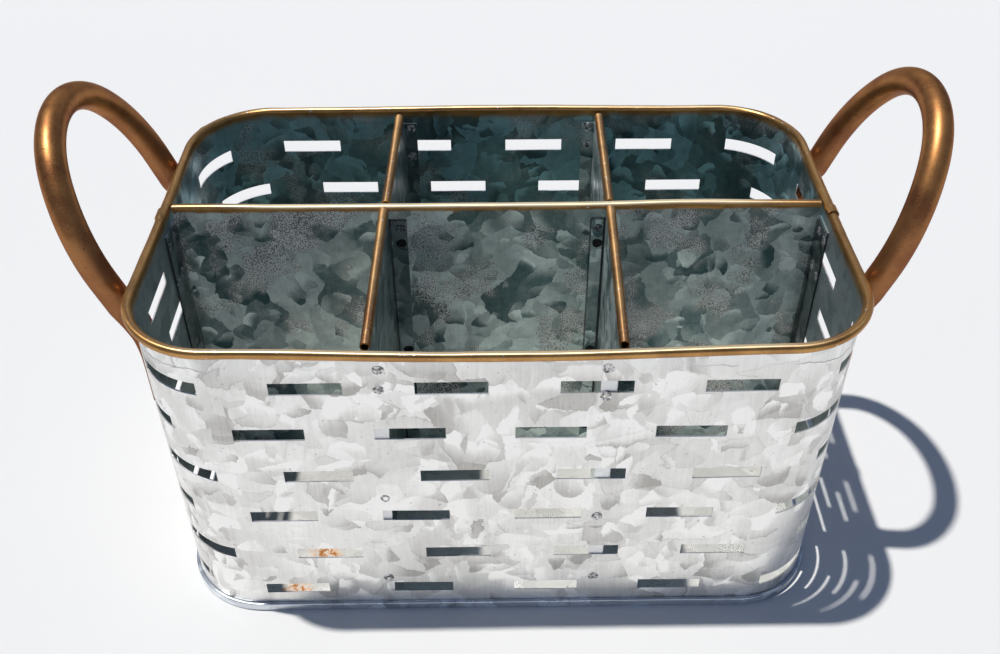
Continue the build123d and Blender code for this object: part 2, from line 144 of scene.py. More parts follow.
# ------------------------------------------------------------------ material kit
class Kit:
    """Short names for shader nodes."""

    def __init__(self, name):
        self.mat = bpy.data.materials.new(name)
        self.mat.use_nodes = True
        self.tree = self.mat.node_tree
        self.tree.nodes.clear()
        self.out = self.tree.nodes.new("ShaderNodeOutputMaterial")
        self.bsdf = self.tree.nodes.new("ShaderNodeBsdfPrincipled")
        self.tree.links.new(self.bsdf.outputs["BSDF"], self.out.inputs["Surface"])
        self.coord = self.tree.nodes.new("ShaderNodeTexCoord").outputs["Object"]

    def put(self, socket, value):
        if isinstance(value, bpy.types.NodeSocket):
            self.tree.links.new(value, socket)
        elif socket.type == "RGBA" and len(value) == 3:
            socket.default_value = (*value, 1.0)
        else:
            socket.default_value = value

    def node(self, kind, **props):
        n = self.tree.nodes.new(kind)
        for k, v in props.items():
            setattr(n, k, v)
        return n

    def math(self, op, a, b=0.0, c=0.0, clamp=False):
        n = self.node("ShaderNodeMath", operation=op, use_clamp=clamp)
        for s, v in zip(n.inputs, (a, b, c)):
            self.put(s, v)
        return n.outputs[0]

    def vec(self, op, a, b=(0, 0, 0), scale=1.0):
        n = self.node("ShaderNodeVectorMath", operation=op)
        self.put(n.inputs[0], a)
        if op == "SCALE":
            self.put(n.inputs["Scale"], scale)
        elif op not in ("NORMALIZE", "LENGTH"):
            self.put(n.inputs[1], b)
        return n.outputs["Value"] if op in ("DOT_PRODUCT", "LENGTH", "DISTANCE") else n.outputs["Vector"]

    def add(self, *values):
        total = values[0]
        for v in values[1:]:
            total = self.math("ADD", total, v)
        return total

    def mul(self, *values):
        total = values[0]
        for v in values[1:]:
            total = self.math("MULTIPLY", total, v)
        return total

    def step(self, x, a, b, lo=0.0, hi=1.0, soft=True):
        n = self.node("ShaderNodeMapRange", interpolation_type="SMOOTHSTEP" if soft else "LINEAR", clamp=True)
        for s, v in zip(("Value", "From Min", "From Max", "To Min", "To Max"), (x, a, b, lo, hi)):
            self.put(n.inputs[s], v)
        return n.outputs["Result"]

    def mix(self, fac, a, b, blend="MIX"):
        n = self.node("ShaderNodeMix", data_type="RGBA", blend_type=blend, clamp_factor=True)
        ins = {s.identifier: s for s in n.inputs}
        self.put(ins["Factor_Float"], fac)
        self.put(ins["A_Color"], a)
        self.put(ins["B_Color"], b)
        return [o for o in n.outputs if o.identifier == "Result_Color"][0]

    def lerp(self, fac, a, b):
        n = self.node("ShaderNodeMix", data_type="FLOAT", clamp_factor=True)
        ins = {s.identifier: s for s in n.inputs}
        self.put(ins["Factor_Float"], fac)
        self.put(ins["A_Float"], a)
        self.put(ins["B_Float"], b)
        return [o for o in n.outputs if o.identifier == "Result_Float"][0]

    def moved(self, shift, stretch=(1, 1, 1)):
        n = self.node("ShaderNodeMapping")
        self.put(n.inputs["Vector"], self.coord)
        n.inputs["Location"].default_value = shift
        n.inputs["Scale"].default_value = stretch
        return n.outputs["Vector"]

    def noise(self, p, scale, detail=2.0, rough=0.5, distortion=0.0):
        n = self.node("ShaderNodeTexNoise", noise_dimensions="3D")
        self.put(n.inputs["Vector"], p)
        n.inputs["Scale"].default_value = scale
        n.inputs["Detail"].default_value = detail
        n.inputs["Roughness"].default_value = rough
        n.inputs["Distortion"].default_value = distortion
        return n.outputs[0], n.outputs[1]

    def cells(self, p, scale, feature="F1", randomness=1.0):
        n = self.node("ShaderNodeTexVoronoi", voronoi_dimensions="3D", feature=feature)
        self.put(n.inputs["Vector"], p)
        n.inputs["Scale"].default_value = scale
        n.inputs["Randomness"].default_value = randomness
        return n.outputs

    def parts(self, v):
        n = self.node("ShaderNodeSeparateXYZ")
        self.put(n.inputs[0], v)
        return n.outputs

    def near(self, centre, r0, r1, wobble=None):
        """1 at a point of the object, fading to 0 between two radii (metres)."""
        d = self.vec("DISTANCE", self.coord, tuple(c * MM for c in centre))
        if wobble is not None:
            d = self.add(d, wobble)
        return self.step(d, r0 * MM, r1 * MM, 1.0, 0.0)

    def bump(self, height, distance, strength=1.0, normal=None):
        n = self.node("ShaderNodeBump")
        n.inputs["Strength"].default_value = strength
        n.inputs["Distance"].default_value = distance
        self.put(n.inputs["Height"], height)
        if normal is not None:
            self.put(n.inputs["Normal"], normal)
        return n.outputs["Normal"]


# crystal layers: cells per metre, stretch, turn (degrees), reach of a rounded petal (0 = angular), share of cells
# that show, where the fade runs, strength, darkest and lightest target, line at the crisp edge
OUT_LAYERS = ((34, (1, 1, 0.7), 24, 0.0, 0.85, (-0.60, 0.70), 0.80, 0.18, 0.95, 0.0),
              (54, (0.75, 1, 1), -31, 0.0, 0.75, (-0.50, 0.75), 0.95, 0.00, 1.15, 0.25),
              (74, (1, 1, 0.8), -22, 0.60, 0.60, (-0.40, 0.65), 0.95, 0.00, 1.20, 0.0),
              (100, (0.62, 1, 1), 38, 0.0, 0.60, (-0.30, 0.65), 0.95, 0.00, 1.30, 0.30),
              (150, (1, 1, 0.55), 12, 0.0, 0.35, (-0.20, 0.50), 0.95, 0.05, 1.30, 0.0))
IN_LAYERS = ((52, (1, 1, 0.85), 15, 0.0, 1.10, (-2.0, -1.0), 1.0, 0.12, 0.85, 0.0),
             (64, (0.85, 1, 1), -28, 0.62, 0.85, (-0.30, 0.50), 0.90, -0.05, 1.00, 0.0),
             (84, (1, 1, 0.8), 40, 0.60, 0.80, (-0.25, 0.50), 0.90, -0.05, 1.10, 0.0),
             (125, (0.8, 1, 1), -12, 0.58, 0.55, (-0.20, 0.50), 0.90, 0.00, 1.20, 0.0))


def spangle(k, shift, tilt_amount, layers, ground):
    """Zinc crystals as overlapping petals: each has one crisp edge and fades out
    on its other side. Gives a shade about 0..1 and a lean of the normal."""
    p0 = k.moved(shift)
    w1 = k.noise(p0, 24, 2.0, 0.5)[1]
    w2 = k.noise(p0, 210, 2.0, 0.6)[1]
    p = k.vec("ADD", p0, k.vec("SCALE", k.vec("SUBTRACT", w1, (0.5, 0.5, 0.5)), scale=0.020))
    p = k.vec("ADD", p, k.vec("SCALE", k.vec("SUBTRACT", w2, (0.5, 0.5, 0.5)), scale=0.0030))
    shade = k.step(k.noise(p0, 18, 2.0, 0.5)[0], 0.25, 0.75, ground - 0.16, ground + 0.16)
    lean = None
    for number, (scale, stretch, turn, reach, share, (f0, f1), strength, low, high, line) in enumerate(layers):
        place = k.node("ShaderNodeMapping")
        k.put(place.inputs["Vector"], p)
        place.inputs["Location"].default_value = (0.37 * number, 0.61 * number, 0.23 * number)
        place.inputs["Rotation"].default_value = (math.radians(turn * 0.6), math.radians(turn), 0.0)
        place.inputs["Scale"].default_value = stretch
        q = place.outputs["Vector"]
        v = k.cells(q, scale)
        dist, colour, centre = v["Distance"], v["Color"], v["Position"]
        r = k.parts(colour)
        away = k.vec("SUBTRACT", q, centre)
        heading = k.vec("SUBTRACT", colour, (0.5, 0.5, 0.5))
        along = k.mul(k.vec("DOT_PRODUCT", away, heading), scale * 2.6)
        alpha = k.step(along, f0, f1, 0.0, strength)
        if share < 1:
            alpha = k.mul(alpha, k.step(k.math("FRACT", k.mul(k.add(r["X"], r["Y"]), 7.31)), share, share + 0.02, 1.0, 0.0, soft=False))
        if reach:
            alpha = k.mul(alpha, k.step(dist, reach - 0.014, reach, 1.0, 0.0, soft=False))
        target = k.step(r["Z"], 0.05, 0.80, low, high, soft=False)
        if line:
            edge = k.cells(q, scale, "DISTANCE_TO_EDGE")["Distance"]
            target = k.math("SUBTRACT", target, k.step(edge, 0.012, 0.035, line, 0.0))
        shade = k.lerp(alpha, shade, target)
        t = k.vec("SCALE", heading, scale=alpha)
        lean = t if lean is None else k.vec("ADD", lean, t)
    geo = k.node("ShaderNodeNewGeometry").outputs["Normal"]
    normal = k.vec("NORMALIZE", k.vec("ADD", geo, k.vec("SCALE", lean, scale=tilt_amount)))
    return shade, normal, p0


PAINT_LIGHT, PAINT_DARK = (0.58, 0.305, 0.085), (0.35, 0.16, 0.04)


def paint_colour(k, p0, light=PAINT_LIGHT, dark=PAINT_DARK, grit=0.7):
    """Metallic copper paint: cloudy tone and fine grain."""
    cloud = k.noise(p0, 60, 3.0, 0.6)[0]
    grain = k.noise(p0, 1500, 2.0, 0.6)[0]
    tone = k.add(k.step(cloud, 0.25, 0.72), k.mul(k.add(grain, -0.5), grit))
    colour = k.mix(k.math("ADD", tone, 0.12, clamp=True), dark, light)
    return colour, grain, cloud


def galvanised(name, shift, dark, light, layers, rough=(0.30, 0.46), tilt=0.16, metallic=0.85, paint_from=None, mist=0.3,
               oxide_and_glints=0.0, crease=False, rust=(), soot=(), grime_and_shade_lines=(), ground=0.52, streak=0.05, specks=0.0, painted_light_flanges=False, painted_shade_low=0.0, shaded=0.0, grain_amount=0.30, bite=0.0, ends=0.0):
    """Zinc-coated sheet. paint_from: heights (mm) between which sprayed copper paint fades in.
    grime_and_shade_lines: dark lines (axis, position, half width, strength, axis 2, from, to) in mm, grime along the
    joints plus painted shade in their gaps."""
    k = Kit(name)
    shade, normal, p0 = spangle(k, shift, tilt, layers, ground)
    mottling = k.noise(p0, 260, 4.0, 0.65)[0]
    brushed = k.noise(k.moved(shift, (1, 1, 0.07)), 900, 3.0, 0.6)[0]
    cloud = k.noise(p0, 14, 2.0, 0.5)[0]
    value = k.add(shade, k.mul(k.add(mottling, -0.5), grain_amount), k.mul(k.add(brushed, -0.5), streak * 4), k.mul(k.add(cloud, -0.5), 0.22))
    value = k.math("MINIMUM", k.math("MAXIMUM", value, 0.0), 1.0)
    colour = k.mix(k.math("POWER", value, bite) if bite else value, dark, light)
    roughness = k.add(k.mul(value, rough[0] - rough[1]), rough[1], k.mul(k.add(mottling, -0.5), 0.16))
    height = k.add(k.mul(mottling, 0.5), k.mul(brushed, 0.25), k.mul(shade, 0.35))
    # whitish oxide patches: their cream glow and the bright white flecks are partly oxide, partly painted glow and
    # painted glints; the dark pits are grain
    if oxide_and_glints:
        grain = k.noise(k.moved(shift, (1, 1, 0.8)), 2000, 1.0, 0.5)[0]
        where = k.noise(p0, 40, 3.0, 0.6)[0]
        glow_patch = k.mul(k.step(where, 0.46, 0.70), k.step(shade, 0.0, 0.5, 0.5, 1.0), oxide_and_glints)
        glint_flecks = k.mul(k.step(grain, 0.44, 0.62), k.step(glow_patch, 0.02, 0.6))
        pits = k.mul(k.step(grain, 0.48, 0.36), k.step(glow_patch, 0.0, 0.4), 0.8)
        colour = k.mix(k.mul(glow_patch, 0.5), colour, (0.78, 0.73, 0.66))
        colour = k.mix(glint_flecks, colour, (1.0, 1.0, 0.97))
        colour = k.mix(pits, colour, (0.07, 0.065, 0.06))
        glint_cover = glint_flecks
        roughness = k.add(roughness, k.mul(glint_flecks, 0.25))
        height = k.add(height, k.mul(glint_flecks, 0.5))
    if specks:
        dot = k.step(k.noise(p0, 620, 1.0, 0.5)[0], 0.735, 0.77)
        colour = k.mix(k.mul(dot, specks), colour, (0.20, 0.19, 0.18))
    xyz = k.parts(k.coord)
    # painted shade: the zinc is darkened towards the bottom, below about 80 mm, for the shade low in the compartments
    if painted_shade_low:
        colour = k.mix(k.step(xyz["Z"], 0.020, 0.080, painted_shade_low, 0.0), colour, (0.035, 0.062, 0.08))
    # painted shade: the zinc is darkened towards the end corners
    if ends:
        colour = k.mix(k.step(k.math("ABSOLUTE", xyz["X"]), 0.118, 0.138, 0.0, ends), colour, (0.10, 0.16, 0.19))
    # painted shade: the dividers left of the middle are darkened for the shadow they stand in
    if shaded:
        colour = k.mix(k.step(xyz["X"], -0.036, -0.028, shaded, 0.0), colour, (0.035, 0.07, 0.075))
    # painted light: the flanges against the walls are brightened to near white for the light they catch through the
    # slots
    if painted_light_flanges:
        colour = k.mix(k.step(k.math("ABSOLUTE", xyz["Y"]), 0.0930, 0.0931, 0.0, 0.85), colour, (0.95, 0.94, 0.93))
    # the crease is a dent in the bump plus a dark painted line: painted shade along the crease
    if crease:
        wob = k.noise(p0, 55, 3.0, 0.6)[0]
        line = k.add(xyz["Z"], k.mul(k.add(wob, -0.5), -0.010), -0.1522)
        thin = k.step(k.math("ABSOLUTE", line), 0.0001, 0.0004, 1.0, 0.0)
        broken = k.step(k.noise(p0, 26, 2.0, 0.5)[0], 0.47, 0.54)
        corner = k.step(k.math("ABSOLUTE", xyz["X"]), 0.062, 0.105)
        mark = k.mul(thin, k.math("MAXIMUM", k.mul(broken, corner), k.mul(k.step(k.math("ABSOLUTE", xyz["X"]), 0.114, 0.120), 0.8)))
        colour = k.mix(k.mul(mark, 0.8), colour, (0.16, 0.15, 0.14))
        height = k.math("SUBTRACT", height, k.mul(mark, 2.0))
        shoulder = k.step(line, -0.0012, 0.0010)
        colour = k.mix(k.mul(shoulder, 0.22), colour, (0.80, 0.81, 0.82))
    for centre, r, strength in rust:
        wob = k.mul(k.add(k.noise(p0, 240, 4.0, 0.7)[0], -0.5), 0.0016 * r)
        m = k.mul(k.near(centre, r * 0.25, r, wob), strength)
        m = k.mul(m, k.step(k.noise(p0, 420, 3.0, 0.7)[0], 0.36, 0.60))
        colour = k.mix(m, colour, (0.70, 0.30, 0.06))
        colour = k.mix(k.mul(k.step(m, 0.55, 0.95), 0.45), colour, (0.20, 0.055, 0.015))
        roughness = k.add(roughness, k.mul(m, 0.35))
    for centre, r, strength in soot:
        wob = k.mul(k.add(k.noise(p0, 600, 3.0, 0.7)[0], -0.5), 0.0012 * r)
        m = k.mul(k.near(centre, r * 0.35, r, wob), strength)
        colour = k.mix(m, colour, (0.02, 0.022, 0.024))
        roughness = k.add(roughness, k.mul(m, 0.25))
    # dark lines along flange edges and bends: grime plus painted shade in the gaps
    for axis, at, half, strength, axis_2, lo, hi in grime_and_shade_lines:
        d = k.math("ABSOLUTE", k.add(xyz[axis], -at * MM))
        m = k.mul(k.step(d, half * 0.6 * MM, half * MM, strength, 0.0), k.step(xyz[axis_2], (lo - 0.3) * MM, lo * MM),
                  k.step(xyz[axis_2], hi * MM, (hi + 0.3) * MM, 1.0, 0.0))
        colour = k.mix(m, colour, (0.02, 0.024, 0.026))
    metal = k.lerp(k.mul(glint_cover, 0.8), metallic, 0.15) if oxide_and_glints else metallic
    if paint_from:
        pc, grain, pcloud = paint_colour(k, p0)
        edge = k.add(xyz["Z"], k.mul(k.add(k.noise(p0, 90, 3.0, 0.6)[0], -0.5), 0.003))
        m = k.step(edge, paint_from[0] * MM, paint_from[1] * MM)
        spray = k.mul(k.step(edge, (paint_from[0] - 5) * MM, paint_from[1] * MM), k.step(k.noise(p0, 2100, 1.0, 0.5)[0], 0.42, 0.62), mist)
        m = k.math("MAXIMUM", m, spray)
        colour = k.mix(m, colour, pc)
        roughness = k.lerp(m, roughness, k.add(0.30, k.mul(grain, 0.14)))
    k.put(k.bsdf.inputs["Base Color"], colour)
    k.put(k.bsdf.inputs["Roughness"], roughness)
    k.put(k.bsdf.inputs["Metallic"], metal)
    k.put(k.bsdf.inputs["Normal"], k.bump(height, 0.00012, 0.5, normal))
    return k.mat


def copper_paint(name, shift, light, dark, rough=0.44, metallic=0.85, coat=0.55, along=None, top_highlight=0.0, top_highlight_from=(0.76, 0.94), rust=(), worn=0.5, specks=1.0, grit=0.7, legs=None):
    """Sprayed metallic paint on a roll or a tube. legs: heights (mm) below which it turns red-brown."""
    k = Kit(name)
    p0 = k.moved(shift)
    colour, grain, cloud = paint_colour(k, p0, light, dark, grit)
    fleck = k.noise(p0, 2600, 1.0, 0.5)[0]
    colour = k.mix(k.mul(k.step(fleck, 0.60, 0.72), 0.35 * specks), colour, (0.90, 0.66, 0.34))
    height = k.add(k.mul(grain, 0.5), k.mul(cloud, 1.2))
    if worn:
        nick = k.noise(p0, 420, 2.0, 0.55)[0]
        bare = k.mul(k.step(nick, 0.70 - 0.06 * worn, 0.74 - 0.05 * worn), 0.85)
        colour = k.mix(bare, colour, (0.80, 0.76, 0.68))
        height = k.add(height, k.mul(bare, -0.6))
    pit = k.step(k.noise(p0, 520, 2.0, 0.6)[0], 0.33, 0.27)
    colour = k.mix(k.mul(pit, 0.55), colour, (0.08, 0.03, 0.012))
    if legs:
        z = k.parts(k.coord)["Z"]
        colour = k.mix(k.step(z, legs[0] * MM, legs[1] * MM, 0.65, 0.0), colour, (0.20, 0.066, 0.03))
    for centre, r, strength in rust:
        wob = k.mul(k.add(k.noise(p0, 300, 3.0, 0.7)[0], -0.5), 0.0016 * r)
        m = k.mul(k.near(centre, r * 0.2, r, wob), strength, k.step(k.noise(p0, 560, 3.0, 0.7)[0], 0.40, 0.58))
        colour = k.mix(m, colour, (0.42, 0.13, 0.03))
    roughness = k.add(rough, k.mul(k.add(grain, -0.5), 0.20), k.mul(k.add(cloud, -0.5), 0.12))
    metal = metallic
    if top_highlight:                                      # painted highlight: a pale cream band along the top of the rolls, fading out towards the end rims
        up_way = k.parts(k.node("ShaderNodeNewGeometry").outputs["Normal"])["Z"]
        highlight_mask = k.mul(k.step(k.add(up_way, k.mul(k.add(cloud, -0.5), 0.12)), *top_highlight_from), top_highlight, k.step(grain, 0.2, 0.5, 0.75, 1.0),
                    k.step(k.math("ABSOLUTE", k.parts(k.coord)["X"]), 0.100, 0.140, 1.0, 0.12))
        colour = k.mix(highlight_mask, colour, (0.97, 0.84, 0.56))
        metal = k.lerp(highlight_mask, metallic, 0.25)
    k.put(k.bsdf.inputs["Base Color"], colour)
    k.put(k.bsdf.inputs["Roughness"], roughness)
    k.put(k.bsdf.inputs["Metallic"], metal)
    k.put(k.bsdf.inputs["Coat Weight"], coat)
    k.put(k.bsdf.inputs["Coat Roughness"], 0.32)
    k.put(k.bsdf.inputs["Specular Tint"], (0.45, 0.25, 0.12))
    if along is not None:
        grain_way = k.node("ShaderNodeTangent", direction_type="RADIAL", axis="X")
        k.put(k.bsdf.inputs["Tangent"], grain_way.outputs["Tangent"])
        k.put(k.bsdf.inputs["Anisotropic"], 0.75)
        k.put(k.bsdf.inputs["Anisotropic Rotation"], along)
    k.put(k.bsdf.inputs["Normal"], k.bump(height, 0.00008, 0.45))
    return k.mat


OUT_DARK, OUT_LIGHT = (0.50, 0.485, 0.455), (1.0, 0.99, 0.96)
# the inside zinc colours are darker and more teal than the outside ones: painted shade and painted sky reflection. The
# front wall's inside gets a lighter copy for the light falling on it.
IN_DARK, IN_LIGHT = (0.068, 0.135, 0.142), (0.88, 1.0, 0.96)

front_out = galvanised("galvanised_front", (0.0, 0.0, 0.0), OUT_DARK, OUT_LIGHT, OUT_LAYERS, crease=True, streak=0.10, specks=0.4, ground=0.62)
back_out = galvanised("galvanised_back", (1.3, 0.7, 0.2), OUT_DARK, OUT_LIGHT, OUT_LAYERS, crease=True, streak=0.10, specks=0.4, ground=0.62)
front_in = galvanised("galvanised_front_inside", (2.1, 1.7, 0.4), (0.50, 0.56, 0.57), (0.95, 1.0, 1.0), IN_LAYERS, paint_from=(158.5, 162.0), oxide_and_glints=0.35, ends=0.45)
back_in = galvanised("galvanised_back_inside", (3.3, 0.4, 1.2), IN_DARK, (0.47, 0.80, 0.85), IN_LAYERS, paint_from=(157.5, 162.0), painted_shade_low=0.75, grain_amount=0.5, bite=1.6, oxide_and_glints=0.35)
long_front = galvanised("galvanised_long_divider_front", (0.4, 2.2, 3.1), IN_DARK, IN_LIGHT, IN_LAYERS, paint_from=(159.6, 161.0), painted_shade_low=0.3, grain_amount=0.5, bite=1.6, mist=0.15, oxide_and_glints=1.0,
                        tilt=0.22, soot=[((41.0, 5.6, 147.5), 2.6, 0.8)],
                        grime_and_shade_lines=[("X", 42.9, 0.45, 0.75, "Z", 70, 155.5), ("X", -148.9, 1.7, 0.5, "Z", 2, 154), ("X", 148.9, 1.7, 0.65, "Z", 2, 154), ("Y", -8.7, 0.9, 0.85, "Z", 2, 156)])
long_back = galvanised("galvanised_long_divider_back", (4.4, 1.2, 2.1), IN_DARK, IN_LIGHT, IN_LAYERS, paint_from=(159.6, 161.0), painted_shade_low=0.75, grain_amount=0.5, bite=1.6, mist=0.15, oxide_and_glints=0.6)
short_metal = galvanised("galvanised_short_divider", (1.4, 3.2, 0.6), IN_DARK, IN_LIGHT, IN_LAYERS, metallic=0.6, paint_from=(159.6, 161.0), painted_shade_low=0.1, grain_amount=0.5, bite=1.6, mist=0.15, oxide_and_glints=0.3,
                         painted_light_flanges=True, shaded=0.55,
                         grime_and_shade_lines=[("X", 49.3, 0.9, 0.95, "Y", 3.6, 6), ("X", -49.9, 0.6, 0.8, "Y", 3.6, 6), ("Z", 155.7, 0.7, 0.8, "Y", 3.6, 6)])
short_metal_2 = galvanised("galvanised_short_divider_outer", (2.4, 4.2, 1.6), IN_DARK, IN_LIGHT, IN_LAYERS, metallic=0.6, paint_from=(159.6, 161.0), painted_shade_low=0.1, grain_amount=0.5, bite=1.6, mist=0.15,
                           oxide_and_glints=0.3, painted_light_flanges=True, shaded=0.55)
floor_metal = galvanised("galvanised_floor", (5.1, 0.2, 0.9), (0.72, 0.71, 0.67), (1.0, 0.99, 0.95), OUT_LAYERS, metallic=0.5, oxide_and_glints=0.35, specks=0.6,
                         rust=[((-87.6, -62.4, 0.6), 11.0, 1.0), ((-99.0, -84.6, 0.6), 9.0, 1.0), ((-93.0, -70.0, 0.6), 5.0, 0.6)])
# the base seam bead gets darker, bluer zinc than the walls: painted shade and painted reflection of the shadow in front
seam_metal_painted_shade = galvanised("galvanised_base_seam", (0.3, 4.1, 0.8), (0.36, 0.39, 0.43), (0.88, 0.92, 0.96), OUT_LAYERS, metallic=0.9, rough=(0.28, 0.40))
roll_paint = copper_paint("copper_paint_rim", (0.2, 0.1, 0.3), PAINT_LIGHT, PAINT_DARK, rough=0.38, worn=0.2, along=0.25, top_highlight=0.65)
long_paint = copper_paint("copper_paint_long_roll", (0.9, 0.6, 0.2), PAINT_LIGHT, PAINT_DARK, rough=0.38, worn=0.2, along=0.25, top_highlight=0.85,
                          top_highlight_from=(0.42, 0.76))
# painted shade: the hidden inner face of each roll gets much darker paint than its outside, for the shade in the hollow
roll_inside_painted_shade = copper_paint("copper_paint_roll_inside", (0.7, 0.3, 0.3), (0.22, 0.12, 0.05), (0.08, 0.04, 0.015), rough=0.5)
short_paint = copper_paint("copper_paint_short_rolls", (1.2, 0.4, 0.8), (0.62, 0.34, 0.11), (0.33, 0.14, 0.04),
                           rust=[((-51.5, -84, 162), 26.0, 0.9), ((49.5, -84, 162), 18.0, 0.6)], worn=0.4, along=0.0, top_highlight=0.12)
handle_paint = copper_paint("copper_paint_handles", (2.2, 0.9, 0.1), (0.50, 0.23, 0.075), (0.24, 0.085, 0.03), rough=0.43, metallic=0.85, coat=0.22,
                            worn=0.0, specks=0.8, grit=0.9, legs=(140, 225))


def weld_marks(name, shift, dark, light, black_below=None):
    """Burnt, spattered metal of a spot weld. black_below: height (mm) under which the marks are black."""
    k = Kit(name)
    p0 = k.moved(shift)
    spatter = k.noise(p0, 760, 3.0, 0.7)[0]
    colour = k.mix(k.step(spatter, 0.42, 0.60), dark, light)
    if black_below:
        colour = k.mix(k.step(k.parts(k.coord)["Z"], (black_below - 0.5) * MM, (black_below + 0.5) * MM, 1.0, 0.0), colour, (0.012, 0.013, 0.015))
    k.put(k.bsdf.inputs["Base Color"], colour)
    k.put(k.bsdf.inputs["Roughness"], 0.5)
    k.put(k.bsdf.inputs["Metallic"], 0.6)
    k.put(k.bsdf.inputs["Normal"], k.bump(spatter, 0.0003, 0.8))
    return k.mat


weld_metal = weld_marks("spot_weld_marks", (0.9, 5.2, 0.4), (0.15, 0.14, 0.13), (0.85, 0.84, 0.83))
cross_metal = weld_marks("cross_weld_marks", (1.9, 2.2, 0.7), (0.05, 0.055, 0.06), (0.30, 0.33, 0.34), 147.0)


# ------------------------------------------------------------------ wall shells
def wall_point(s, n):
    """Point and outward direction at distance s along the outside from the front's middle, n outside it."""
    s, n = np.broadcast_arrays(np.asarray(s, float), np.asarray(n, float))
    sg, a = np.sign(s), np.abs(s)
    t = np.clip((a - FLAT) / CORNER_R, 0, pi / 2)
    nx, ny = sg * np.sin(t), -np.cos(t)
    x = sg * (np.minimum(a, FLAT) + np.sin(t) * (CORNER_R + n))
    y = -END_FLAT - np.cos(t) * (CORNER_R + n) + np.maximum(a - FLAT - ARC, 0)
    return x, y, nx, ny


def shell(name, seed, bow, kinks=()):
    limit = SEAM_S - SEAM_MARGIN
    slots = []
    for i, z in enumerate(SLOT_ROWS):
        for q in range(-4, 5):
            c = SLOT_SHIFT[i % 2] + q * SLOT_PITCH
            s0, s1 = max(c - SLOT_L / 2, -limit), min(c + SLOT_L / 2, limit)
            if s1 - s0 > 15:
                slots.append((s0, s1, z - SLOT_H / 2, z + SLOT_H / 2))
    marks = [-SEAM_S - 3.5, -SEAM_S, -SEAM_S + 2.2, -SEAM_S + 4.2, SEAM_S, -FLAT, FLAT, -FLAT - ARC, FLAT + ARC]
    marks += [v for s in slots for v in s[:2]]
    S = lines(marks, lambda s: 1.55 if FLAT < abs(s) < FLAT + ARC else 2.4)
    Z = lines([1.21, RIM_Z] + [v for s in slots for v in s[2:]], lambda z: 2.2)
    low = [(0.885, 3.97), (0.885, 2.6)]
    low += [(0.575 + 0.31 * math.cos(a), 1.21 + 0.31 * math.sin(a)) for a in np.radians([0, -30, -60, -90])]
    low += [(0.01 + 0.31 * math.cos(a), 1.21 + 0.31 * math.sin(a)) for a in np.radians([-90, -120, -150])]
    phi = np.radians(np.linspace(180, ROLL_END, 27))[1:]
    v_n = np.array([p[0] for p in low] + [-0.3] * len(Z) + [0.0] * len(phi))
    v_z = np.array([p[1] for p in low] + list(Z) + [RIM_Z] * len(phi))
    first_roll = len(low) + len(Z)
    v_phi = np.array([pi] * first_roll + list(phi))
    on_roll = np.arange(len(v_n)) >= first_roll
    s = S[:, None] * np.ones((1, len(v_n)))
    # roll: a little uneven, swaged wider where it laps over the other half
    uneven = ripple(seed + 5, 9, 9, 46)
    swage = smooth(-SEAM_S + 4.2, -SEAM_S + 2.2, S)[:, None]
    radius = 1.8 + 0.62 * swage + 0.05 * uneven(s, 0 * s)
    lift = 0.10 * ripple(seed + 6, 6, 40, 160)(s, 0 * s) + bow(s)
    for at, size, width in kinks:
        radius = radius + size * np.exp(-((s - at) / width) ** 2)
    n = np.where(on_roll[None, :], 1.5 + radius * np.cos(v_phi)[None, :], v_n[None, :])
    z = np.where(on_roll[None, :], RIM_Z + lift + radius * np.sin(v_phi)[None, :], v_z[None, :])
    z = np.where(~on_roll[None, :], z + lift * smooth(147, RIM_Z, v_z)[None, :], z)
    # the flat sheet is never quite flat
    wave = ripple(seed, 10, 45, 150)(s, z)
    calm = smooth(4, 26, z) * smooth(RIM_Z - 1, RIM_Z - 22, z) * (0.25 + 0.75 * smooth(FLAT + 14, FLAT - 10, np.abs(s)))
    n = n + 0.17 * wave * calm
    x, y, nx, ny = wall_point(s, n)
    P = np.stack([x, y, z], 2)
    sm, zm = (S[:-1] + S[1:]) / 2, (v_z[:-1] + v_z[1:]) / 2
    keep = np.ones((len(S) - 1, len(v_n) - 1), bool)
    wall_cells = np.arange(len(v_n) - 1) < first_roll - 1
    wall_cells &= np.arange(len(v_n) - 1) >= len(low)
    for s0, s1, z0, z1 in slots:
        keep &= ~(((sm > s0) & (sm < s1))[:, None] & ((zm > z0) & (zm < z1) & wall_cells)[None, :])
    mid_phi = np.degrees((v_phi[:-1] + v_phi[1:]) / 2)
    lap = (mid_phi < 155) & (mid_phi > -105) & (np.arange(len(v_n) - 1) >= first_roll)
    keep[sm < -SEAM_S] &= lap[None, :]
    cell_mat = np.zeros(keep.shape, int)
    cell_mat[:, first_roll - 1:] = 1
    return P, keep, cell_mat


def front_bow(s):
    """The rim was rolled by hand: low in the middle of the front, higher towards the corners."""
    a = np.abs(s)
    return -1.35 + 2.7 * smooth(15, 118, a) - 1.35 * smooth(150, SEAM_S - 6, a)


def back_bow(s):
    return 0.9 * smooth(90, 10, np.abs(s))


P, keep, cm = shell("front_shell", 11, front_bow)
front_shell = sheet_object("front_wall", P, keep, [front_out, roll_inside_painted_shade, front_in, roll_paint], cm)
finish_piece(front_shell, "galvanised", "front_shell")
# back half: the same pressing turned half round; a small pinch in its rim near the left back corner
P, keep, cm = shell("back_shell", 47, back_bow, kinks=[(SEAM_S - 75.7, 0.28, 1.3)])
P = P * np.array([-1, -1, 1])
back_shell = sheet_object("back_wall", P, keep, [back_out, roll_inside_painted_shade, back_in, roll_paint], cm)
finish_piece(back_shell, "galvanised", "back_shell")


